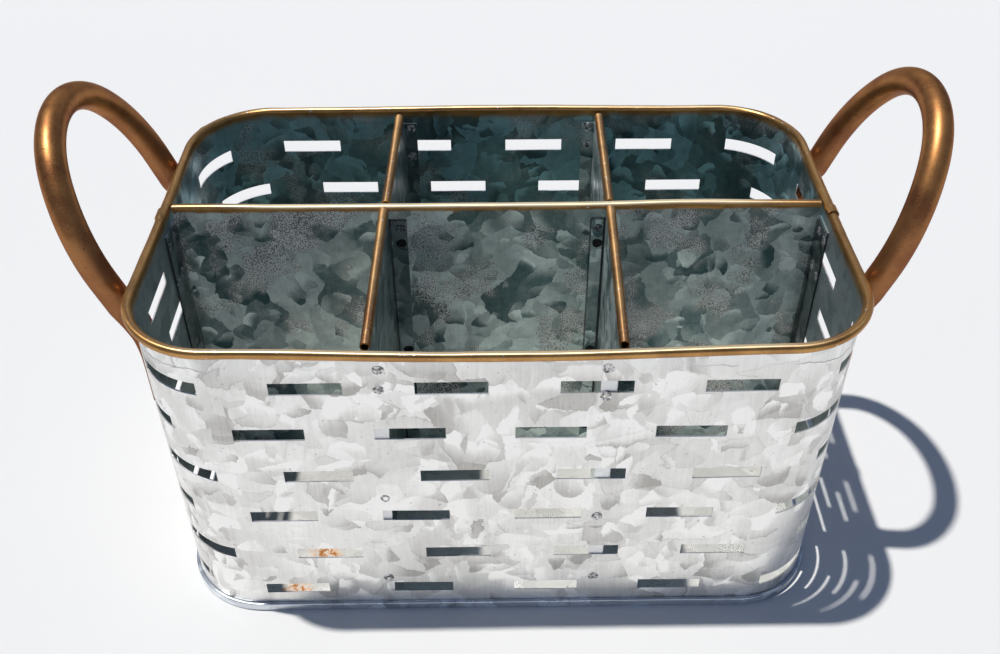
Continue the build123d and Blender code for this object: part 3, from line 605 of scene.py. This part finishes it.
# ------------------------------------------------------------------ dividers
def bend_path(points, radius, seg=5):
    """Plan path with rounded corners; gives points and the index of the leg each belongs to."""
    pts = [np.array(p, float) for p in points]
    out, leg = [pts[0]], [0]
    for i in range(1, len(pts) - 1):
        a, b, c = pts[i - 1], pts[i], pts[i + 1]
        u, v = (a - b) / np.linalg.norm(a - b), (c - b) / np.linalg.norm(c - b)
        half = math.acos(np.clip(u @ v, -1, 1)) / 2
        d = radius / math.tan(half)
        centre = b + (u + v) / np.linalg.norm(u + v) * radius / math.sin(half)
        p0, p1 = b + u * d - centre, b + v * d - centre
        turn = math.acos(np.clip(p0 @ p1 / radius ** 2, -1, 1))
        for k in range(seg + 1):
            t = k / seg
            out.append(centre + (p0 * math.sin((1 - t) * turn) + p1 * math.sin(t * turn)) / math.sin(turn))
            leg.append(i - 0.5 if 0 < k < seg else (i - 1 if k == 0 else i))
    out.append(pts[-1])
    leg.append(len(pts) - 2)
    return np.array(out), np.array(leg)


def divider(name, plan, radius, strip, out_dir, seed, mats, lean=(0.0, 0.0), bow=None):
    """Bent sheet with flanges. plan: middle-surface corners, flange tip to flange tip.
    strip: (start, end) of the rolled top, as distances along the panel from its first bend corner.
    lean: sideways shift of the lower edge at the first and second bend. bow: rise of the roll along x."""
    path, leg = bend_path(plan, radius)
    a, b = np.array(plan[1], float), np.array(plan[2], float)
    along = (b - a) / np.linalg.norm(b - a)
    dist = (path - a) @ along
    on_panel = leg == 1
    i0, i1 = np.nonzero(on_panel)[0][[0, -1]]
    d0, d1 = dist[i0], dist[i1]
    start, end = strip
    marks = [d0, d1] + [v for v in (start, end) if d0 + 0.2 < v < d1 - 0.2]
    D = lines(marks, lambda d: 3.0)
    panel = a + D[:, None] * along
    flange_a = path[:i0]
    flange_b = path[i1 + 1:]

    def fine(q, n):
        t = np.linspace(0, 1, n)[:, None]
        return q[0] * (1 - t) + q[1] * t
    head = np.vstack([fine(flange_a[:2], 4)[:-1], flange_a[1:]]) if len(flange_a) > 1 else flange_a
    tail = np.vstack([flange_b[:-1], fine(flange_b[-2:], 4)[1:]]) if len(flange_b) > 1 else flange_b
    U = np.vstack([head, panel, tail])
    n_head = len(head)
    Z = lines([0.62, FLANGE_TOP, DIV_Z], lambda z: 3.0)
    phi = np.radians(np.linspace(180, ROLL_END, 27))[1:]
    nz = len(Z)
    P = np.zeros((len(U), nz + len(phi), 3))
    P[:, :nz, :2] = U[:, None, :]
    P[:, :nz, 2] = Z[None, :]
    share = np.clip((U - a) @ along / np.linalg.norm(b - a), 0, 1)
    drop = np.clip((FLANGE_TOP - Z) / (FLANGE_TOP - 0.6), 0, 1)
    P[:, :nz, 0] += (lean[0] + (lean[1] - lean[0]) * share)[:, None] * drop[None, :]
    # the panel is a little wavy between its fixings
    wave = ripple(seed, 8, 40, 130)
    dd = np.zeros(len(U))
    dd[n_head:n_head + len(D)] = D
    calm = np.zeros(len(U))
    calm[n_head:n_head + len(D)] = smooth(d0, d0 + 12, D) * smooth(d1, d1 - 12, D)
    out = np.array(out_dir, float)
    amp = 0.20 * wave(dd[:, None], Z[None, :]) * calm[:, None] * (smooth(0, 25, Z) * smooth(DIV_Z, DIV_Z - 25, Z))[None, :]
    P[:, :nz, :2] += amp[:, :, None] * out[None, None, :]
    # rolled top, its ends pulled out to the strip's own length
    Dt = D.copy()
    lo, hi = max(start, d0), min(end, d1)
    if start < d0:
        Dt = Dt - (d0 - start) * smooth(d0 + 8, d0, D)
    if end > d1:
        Dt = Dt + (end - d1) * smooth(d1 - 8, d1, D)
    top = a + Dt[:, None] * along
    rows = slice(n_head, n_head + len(D))
    blend = smooth(FLANGE_TOP, FLANGE_TOP + 1.2, Z)
    P[rows, :nz, :2] += (top - panel)[:, None, :] * blend[None, :, None]
    uneven = 0.045 * ripple(seed + 3, 7, 8, 40)(D, 0 * D)
    sag = 0.12 * ripple(seed + 4, 4, 60, 150)(D, 0 * D)
    if bow is not None:
        sag = sag + bow(panel[:, 0])
    r = 1.8 + uneven
    P[:, nz:, :2] = U[:, None, :]
    P[:, nz:, 2] = DIV_Z
    P[rows, nz:, :2] = top[:, None, :] + out[None, None, :] * (1.8 + r[:, None] * np.cos(phi)[None, :])[:, :, None]
    P[rows, nz:, 2] = DIV_Z + sag[:, None] + r[:, None] * np.sin(phi)[None, :]
    P[rows, :nz, 2] += sag[:, None] * smooth(FLANGE_TOP - 12, DIV_Z, Z)[None, :]
    keep = np.ones((len(U) - 1, nz + len(phi) - 1), bool)
    above = np.arange(nz + len(phi) - 1) >= int(np.argmin(abs(Z - FLANGE_TOP)))
    dm = (D[:-1] + D[1:]) / 2
    in_strip = np.zeros(len(U) - 1, bool)
    in_strip[n_head:n_head + len(D) - 1] = (dm > lo) & (dm < hi)
    keep[~in_strip] &= ~above[None, :]
    cell_mat = np.zeros(keep.shape, int)
    cell_mat[:, nz - 1:] = 1
    return sheet_object(name, P, keep, mats, cell_mat)


xe = X_IN - SHEET / 2
ym = LONG_Y + SHEET / 2
tip = LONG_Y + SHEET - LONG_FLANGE
long_plan = [(-xe, tip), (-xe, ym), (xe, ym), (xe, tip)]
long_divider = divider("long_divider_sheet", long_plan, 0.7, (0.7, 2 * xe - 0.7), (0, 1), 21,
                       [long_front, long_paint, long_back, roll_inside_painted_shade],
                       bow=lambda x: 1.3 * np.exp(-((x - 90) / 32) ** 2) + 0.6 * np.exp(-((x + 140) / 30) ** 2) - 0.4 / (1 + np.exp((x - 110) / 5)))
finish_piece(long_divider, "galvanised", "long_divider")

for number, (node, (x_wall, x_mid, back, wall_flange, mid_flange, wall_lean, mid_lean)) in enumerate(SHORT.items()):
    sx = 1 if x_wall > 0 else -1
    xw, xm = x_wall - sx * DIV_R, x_mid - sx * DIV_R
    if back:
        yw, y_mid, sy = Y_IN, LONG_Y + SHEET, -1
    else:
        yw, y_mid, sy = -Y_IN, LONG_Y, 1
    h = SHEET / 2
    def panel_x(y):
        return xw + (xm - xw) * (y - yw) / (y_mid - yw) + sx * h
    y0, y1 = yw + sy * h, y_mid - sy * h
    plan = [(xw - sx * wall_flange, y0), (panel_x(y0), y0), (panel_x(y1), y1), (xm - sx * mid_flange, y1)]
    lean = (wall_lean, mid_lean)
    full = math.hypot(plan[2][0] - plan[1][0], y1 - y0)
    ratio = full / abs(y1 - y0)
    strip = [(abs(yw + sy * 3.6 - y0)) * ratio, (abs((LONG_Y + 2 * DIV_R + 0.35 if back else LONG_Y - 0.35) - y0)) * ratio]
    # walk so that the panel's face to the middle compartment is the outer one
    if (sx < 0) != (plan[2][1] > plan[1][1]):
        plan = plan[::-1]
        strip = [full - strip[1], full - strip[0]]
        lean = lean[::-1]
    d = np.array(plan[2]) - np.array(plan[1])
    d = d / np.linalg.norm(d)
    out = np.array([-d[1], d[0]])
    if out[0] * sx < 0:
        out = -out
    ob = divider(node + "_sheet", plan, 0.6, strip, out, 60 + 7 * number, [short_metal, short_paint, short_metal_2, roll_inside_painted_shade], lean)
    finish_piece(ob, "galvanised", node)


# ------------------------------------------------------------------ floor with its folded seam
def ring_points(n, z):
    """Closed loop of the outline at offset n: one list of points round the object."""
    side = lines([-FLAT, FLAT], lambda d: 6.0)
    end = lines([-END_FLAT, END_FLAT], lambda d: 6.0)
    arc = np.linspace(0, pi / 2, 26)
    r = CORNER_R + n
    pts = [(x, -HALF_W - n) for x in side[:-1]]
    pts += [(FLAT + r * math.sin(t), -END_FLAT - r * math.cos(t)) for t in arc[:-1]]
    pts += [(HALF_L + n, y) for y in end[:-1]]
    pts += [(FLAT + r * math.cos(t), END_FLAT + r * math.sin(t)) for t in arc[:-1]]
    pts += [(x, HALF_W + n) for x in side[::-1][:-1]]
    pts += [(-FLAT - r * math.sin(t), END_FLAT + r * math.cos(t)) for t in arc[:-1]]
    pts += [(-HALF_L - n, y) for y in end[::-1][:-1]]
    pts += [(-FLAT - r * math.cos(t), -END_FLAT - r * math.sin(t)) for t in arc[:-1]]
    return np.array([(x, y, z) for x, y in pts])


profile = [(0.3, 1.26), (0.3, 2.6)]
profile += [(0.58 - 0.28 * math.cos(a), 4.02 + 0.28 * math.sin(a)) for a in np.radians([0, 30, 60, 90])]
profile += [(1.12 + 0.38 * math.sin(a), 3.92 + 0.38 * math.cos(a)) for a in np.radians([0, 22.5, 45, 67.5, 90])]
profile += [(1.5, 2.3)]
profile += [(1.12 + 0.38 * math.cos(a), 0.68 - 0.38 * math.sin(a)) for a in np.radians([0, 22.5, 45, 67.5, 90])]
profile += [(0.2, 0.3), (-3.0, 0.3), (-9.0, 0.3), (-18.0, 0.3), (-26.0, 0.3), (-32.0, 0.3)]
rings = []
bead = ripple(93, 8, 30, 120)
for n, z in profile:
    pts = ring_points(n, z)
    if n > 0.9:                                   # the fold is not pressed evenly
        ang = np.arange(len(pts)) * 4.0
        away = pts[:, :2] / np.linalg.norm(pts[:, :2], axis=1)[:, None]
        pts[:, :2] += away * (0.05 * bead(ang, 0 * ang))[:, None]
    rings.append(pts)
verts = np.vstack(rings)
m = len(rings[0])
faces = []
for r in range(len(rings) - 1):
    for c in range(m):
        a, b = r * m + c, r * m + (c + 1) % m
        faces.append((a, b, b + m, a + m))
seam_faces = (len(rings) - 6) * m
base = (len(rings) - 1) * m
faces.append([base + c for c in range(m)])
faces = [tuple(reversed(f)) for f in faces]
floor_pan = new_object("floor_sheet", verts, faces, [floor_metal, seam_metal_painted_shade], [1 if i < seam_faces else 0 for i in range(len(faces))])
s = floor_pan.modifiers.new("sheet", "SOLIDIFY")
s.thickness, s.offset, s.use_even_offset, s.use_quality_normals = 0.54 * MM, 0.0, True, True
w = floor_pan.modifiers.new("shading", "WEIGHTED_NORMAL")
finish_piece(floor_pan, "galvanised", "floor_pan")


# ------------------------------------------------------------------ handles
def handle_rings(lean, half, rise):
    tilt = math.radians(lean)
    v = np.array([math.sin(tilt), 0, math.cos(tilt)])
    nrm = np.array([math.cos(tilt), 0, -math.sin(tilt)])
    o = np.array([HANDLE_X, 0, HANDLE_Z])
    top_r, phi = HANDLE_TOP_R, math.radians(HANDLE_TOP_ANGLE)
    jy, js = top_r * math.sin(phi), rise - top_r * (1 - math.cos(phi))
    side_r = (half - jy) / (1 - math.sin(phi))
    cy, cs = jy - side_r * math.sin(phi), js - side_r * math.cos(phi)
    ybar = np.array([0, 1, 0])
    rings = []                                     # centre, across (thickness), width axis, a, b
    # flattened foot, from its end up to the round tube
    key_t = np.array([0.0, 0.30, 0.55, 0.72, 0.86, 1.0])
    c1 = o + v * 4.0
    kx = np.array([151.25, 151.26, 151.35, 152.15, 154.6, c1[0]])
    kz = np.array([106.0, 119.0, 130.0, 139.0, 146.0, c1[2]])
    ka = np.array([1.25, 1.26, 1.35, 2.1, 4.0, TUBE_R])
    kb = np.array([9.25, 9.2, 9.15, 8.7, 7.5, TUBE_R])
    kt = np.array([0.0, 0.0, 0.0, 8.0, 16.0, lean])

    def curve(keys, t):
        # monotone cubic through the keys
        h = np.diff(key_t)
        d = np.diff(keys) / h
        m = np.zeros(len(keys))
        m[1:-1] = np.where(d[:-1] * d[1:] > 0, 2 * d[:-1] * d[1:] / (d[:-1] + d[1:] + 1e-12), 0)
        m[0], m[-1] = d[0], d[-1]
        i = int(np.clip(np.searchsorted(key_t, t) - 1, 0, len(h) - 1))
        x = (t - key_t[i]) / h[i]
        return ((2 * x ** 3 - 3 * x ** 2 + 1) * keys[i] + (x ** 3 - 2 * x ** 2 + x) * h[i] * m[i]
                + (-2 * x ** 3 + 3 * x ** 2) * keys[i + 1] + (x ** 3 - x ** 2) * h[i] * m[i + 1])

    foot = []
    for t in np.linspace(0, 1, 34):
        ang = math.radians(curve(kt, t))
        c = np.array([curve(kx, t), 0, curve(kz, t)])
        foot.append((c, np.array([math.cos(ang), 0, -math.sin(ang)]), curve(ka, t), curve(kb, t)))
    end_c, end_n, end_a, end_b = foot[0]
    foot = [(end_c + np.array([0, 0, 0.0]), end_n, end_a - 0.55, end_b - 0.55),
            (end_c + np.array([0, 0, 0.18]), end_n, end_a - 0.18, end_b - 0.18),
            (end_c + np.array([0, 0, 0.55]), end_n, end_a, end_b)] + foot[1:]
    up = [(c + ybar * half, nn, -ybar, a, b) for c, nn, a, b in foot]
    pt = lambda y, s: o + ybar * y + v * s
    run = []
    for s_ in np.linspace(4.0, cs, 5)[1:]:
        run.append((pt(half, s_), v))
    for a in np.linspace(pi / 2, phi, 22)[1:]:
        run.append((pt(cy + side_r * math.sin(a), cs + side_r * math.cos(a)), -ybar * math.cos(a) + v * math.sin(a)))
    for a in np.linspace(phi, -phi, 44)[1:]:
        run.append((pt(top_r * math.sin(a), rise - top_r + top_r * math.cos(a)), -ybar * math.cos(a) + v * math.sin(a)))
    for a in np.linspace(phi, pi / 2, 22)[1:]:
        run.append((pt(-(cy + side_r * math.sin(a)), cs + side_r * math.cos(a)), -ybar * math.cos(a) - v * math.sin(a)))
    for s_ in np.linspace(cs, 4.0, 5)[1:]:
        run.append((pt(-half, s_), -v))
    loop = [(c, nrm, np.cross(nrm, t), TUBE_R, TUBE_R) for c, t in run]
    down = [(c - ybar * half, nn, ybar, a, b) for c, nn, a, b in foot[::-1]]
    return up + loop[:-1] + down


def handle(name, turned, loop, node, mat):
    count = 56
    th = np.arange(count) / count * 2 * pi
    verts = []
    for c, across, wide, a, b in handle_rings(*loop):
        flat = np.clip(np.sin(th) * 2.2, -1, 1) * (b - a)
        verts.append(c + across * (a * np.cos(th))[:, None] + wide * (flat + a * np.sin(th))[:, None])
    rings = len(verts)
    verts = np.vstack(verts)
    verts[:, 1] += HANDLE_SHIFT
    if turned:
        verts = verts * np.array([-1, -1, 1])
    faces = []
    for r in range(rings - 1):
        for c in range(count):
            a, b = r * count + c, r * count + (c + 1) % count
            faces.append((a, b, b + count, a + count))
    faces.append(tuple(reversed(range(count))))
    faces.append(tuple((rings - 1) * count + c for c in range(count)))
    ob = new_object(name, verts, faces, [mat])
    for f in ob.data.polygons[-2:]:
        f.use_smooth = False
    return finish_piece(ob, "copper_paint", node)


handle("right_handle_tube", False, RIGHT_LOOP, "right_handle", handle_paint)
handle("left_handle_tube", True, LEFT_LOOP, "left_handle", handle_paint)


def foot_bead(name, sg, y, node, seed):
    """Weld bead along the lower edge of a handle's foot, laid in overlapping drops."""
    u = np.linspace(-1, 1, 41)
    ang = np.radians(np.linspace(-90, 70, 13))
    r = np.random.default_rng(seed)
    ph = r.uniform(0, 2 * pi)
    verts = []
    for q in u:
        w = max(0.05, (1 - abs(q) ** 5)) ** 0.5
        drop = 1 + 0.09 * math.sin(q * 16 + ph) + 0.04 * r.normal()
        verts += [(HALF_L - 0.1 + 2.15 * w * drop * max(0.0, math.cos(a)), q * 7.9, 105.35 + (2.3 if a < 0 else 0.6) * w * drop * math.sin(a)) for a in ang]
    n = len(ang)
    faces = []
    for i in range(len(u) - 1):
        for j in range(n - 1):
            a = i * n + j
            faces.append((a, a + n, a + n + 1, a + 1))
    for i in range(len(u) - 1):                    # flat back against the wall
        a = i * n
        faces.append((a, a + n - 1, a + 2 * n - 1, a + n))
    faces.append(tuple(range(n)))
    faces.append(tuple(reversed(range((len(u) - 1) * n, len(u) * n))))
    verts = np.array(verts)
    verts[:, 1] += y
    if sg < 0:
        verts = verts * np.array([-1, -1, 1])
    ob = new_object(name, verts, faces, [handle_paint])
    return finish_piece(ob, "copper_paint", node)


foot_bead("right_front_bead", 1, HANDLE_SHIFT - RIGHT_LOOP[1], "right_handle_front_weld", 1)
foot_bead("right_back_bead", 1, HANDLE_SHIFT + RIGHT_LOOP[1], "right_handle_back_weld", 2)
foot_bead("left_back_bead", -1, HANDLE_SHIFT - LEFT_LOOP[1], "left_handle_back_weld", 3)
foot_bead("left_front_bead", -1, HANDLE_SHIFT + LEFT_LOOP[1], "left_handle_front_weld", 4)


# ------------------------------------------------------------------ spot welds
def spot_welds(name, spots, node, seed, mat=weld_metal):
    """spots: (centre on the first face, direction through the sheets, length)."""
    r = np.random.default_rng(seed)
    prof = [(0.0, 0.03), (0.55, 0.02), (1.05, 0.05), (1.45, 0.17), (1.80, 0.22), (2.10, 0.14), (2.35, 0.03), (2.5, -0.08)]
    count = 28
    verts, faces = [], []
    for centre, way, length in spots:
        c, d = np.array(centre, float), np.array(way, float)
        e1 = np.array([0, 0, 1.0])
        e2 = np.cross(d, e1)
        start = len(verts)
        ovals = 1 + 0.06 * r.normal(size=2)
        wob = 1 + 0.05 * np.sin(np.arange(count) / count * 2 * pi * 3 + r.uniform(0, 6)) + 0.03 * r.normal(size=count)
        rows = [(q, -h) for q, h in prof[1:]] + [(q, length + h) for q, h in prof[::-1][:-1]]
        verts.append(c - d * prof[0][1])
        for q, h in rows:
            for i in range(count):
                t = i / count * 2 * pi
                verts.append(c + d * h + e1 * (q * ovals[0] * wob[i] * math.cos(t)) + e2 * (q * ovals[1] * wob[i] * math.sin(t)))
        verts.append(c + d * (length + prof[0][1]))
        for i in range(count):
            j = (i + 1) % count
            faces.append((start, start + 1 + i, start + 1 + j))
            for k in range(len(rows) - 1):
                a = start + 1 + k * count
                faces.append((a + i, a + count + i, a + count + j, a + j))
            a = start + 1 + (len(rows) - 1) * count
            faces.append((len(verts) - 1, a + j, a + i))
    ob = new_object(name, np.array(verts), faces, [mat])
    return finish_piece(ob, "galvanised", node)


fy, by, ly = -HALF_W, HALF_W, LONG_Y - SHEET
two, three = 2 * SHEET, 3 * SHEET
spot_welds("front_left_spots", [((x, fy, z), (0, 1, 0), two) for x, z in [(-48.0, 152.7), (-48.4, 142.0), (-50.2, 77.4), (-52.4, 22.0)]], "front_left_wall_welds", 31)
spot_welds("front_right_spots", [((x, fy, z), (0, 1, 0), two) for x, z in [(42.7, 152.4), (42.6, 137.3), (42.8, 63.8), (43.2, 21.2)]], "front_right_wall_welds", 32)
spot_welds("back_left_spots", [((x, by, z), (0, -1, 0), two) for x, z in [(-44.6, 153.0), (-44.6, 136.5), (-44.4, 78.0), (-44.8, 22.0)]], "back_left_wall_welds", 33)
spot_welds("back_right_spots", [((x, by, z), (0, -1, 0), two) for x, z in [(47.6, 153.4), (47.4, 143.4), (47.4, 78.0), (47.2, 22.0)]], "back_right_wall_welds", 34)
spot_welds("left_cross_spots", [((x, ly, z), (0, 1, 0), three) for x, z in [(-45.0, 151.2), (-45.0, 142.6), (-45.4, 77.0), (-45.2, 22.0)]], "left_cross_welds", 35, cross_metal)
spot_welds("right_cross_spots", [((x, ly, z), (0, 1, 0), three) for x, z in [(46.1, 150.6), (46.4, 141.9), (46.2, 76.0), (46.0, 22.0)]], "right_cross_welds", 36, cross_metal)
for sg, name, node, seed in ((-1, "left_end_spots", "left_end_welds", 37), (1, "right_end_spots", "right_end_welds", 38)):
    spot_welds(name, [((sg * HALF_L, y, z), (-sg, 0, 0), two) for y in (-6.0, 2.4) for z in (149.6, 129.8, 78.9, 27.7)], node, seed)


# ------------------------------------------------------------------ stage, light, camera
k = Kit("pale_floor")
tint = k.noise(k.moved((0, 0, 0)), 3.0, 2.0, 0.5)[0]
k.put(k.bsdf.inputs["Base Color"], k.mix(tint, (0.825, 0.825, 0.812), (0.85, 0.85, 0.832)))
k.put(k.bsdf.inputs["Roughness"], 0.75)
k.bsdf.inputs["Specular IOR Level"].default_value = 0.0
ground = new_object("pale_floor", np.array([(-15000, -15000, -0.1), (15000, -15000, -0.1), (15000, 15000, -0.1), (-15000, 15000, -0.1)]), [(0, 1, 2, 3)], [k.mat])

world = bpy.data.worlds.new("studio")
bpy.context.scene.world = world
world.use_nodes = True
bg = world.node_tree.nodes["Background"]
bg.inputs["Color"].default_value = (0.31, 0.52, 1.0, 1.0)
bg.inputs["Strength"].default_value = 0.172

sun = bpy.data.lights.new("key", "SUN")
sun.energy = 3.05
sun.angle = math.radians(1.3)
sun.color = (1.0, 0.975, 0.94)
sun_ob = bpy.data.objects.new("key", sun)
bpy.context.scene.collection.objects.link(sun_ob)
way = Vector((0.252, -0.063, -1.0)).normalized()
sun_ob.rotation_euler = way.to_track_quat("-Z", "Y").to_euler()

strip = bpy.data.lights.new("rear", "AREA")
strip.shape, strip.size, strip.size_y = "RECTANGLE", 1.7, 0.16
strip.energy = 1.0
strip.color = (1.0, 0.985, 0.96)
strip_ob = bpy.data.objects.new("rear", strip)
bpy.context.scene.collection.objects.link(strip_ob)
strip_ob.location = (0.0, 1.15, 0.80)
strip_ob.rotation_euler = Vector((0.0, -1.15, -0.64)).to_track_quat("-Z", "Y").to_euler()

fill = bpy.data.lights.new("front", "AREA")
fill.shape, fill.size, fill.size_y = "RECTANGLE", 1.8, 0.5
fill.energy = 1.6
fill.color = (1.0, 0.99, 0.97)
fill_ob = bpy.data.objects.new("front", fill)
bpy.context.scene.collection.objects.link(fill_ob)
fill_ob.location = (0.0, -1.5, 0.34)
fill_ob.rotation_euler = Vector((0.0, 1.5, -0.26)).to_track_quat("-Z", "Y").to_euler()

cam = bpy.data.cameras.new("camera")
cam.sensor_width = 36.0
cam.lens = 1102.4 * 36.0 / 1000.0
cam.shift_x, cam.shift_y = -0.0094, -0.0004
cam.clip_start, cam.clip_end = 0.01, 100
cam_ob = bpy.data.objects.new("camera", cam)
bpy.context.scene.collection.objects.link(cam_ob)
pitch, yaw, roll = (math.radians(v) for v in (39.946, 1.022, 0.129))
fwd = np.array([math.sin(yaw) * math.cos(pitch), math.cos(yaw) * math.cos(pitch), -math.sin(pitch)])
right = np.array([math.cos(yaw), -math.sin(yaw), 0.0])
up = np.cross(right, fwd)
r2 = math.cos(roll) * right + math.sin(roll) * up
u2 = -math.sin(roll) * right + math.cos(roll) * up
place = np.eye(4)
place[:3, 0], place[:3, 1], place[:3, 2] = r2, u2, -fwd
place[:3, 3] = np.array([-2.1, -415.15, 443.28]) * MM
cam_ob.matrix_world = Matrix(place.tolist())
bpy.context.scene.camera = cam_ob
bpy.context.scene.view_settings.view_transform = "Standard"

bpy.context.view_layer.update()
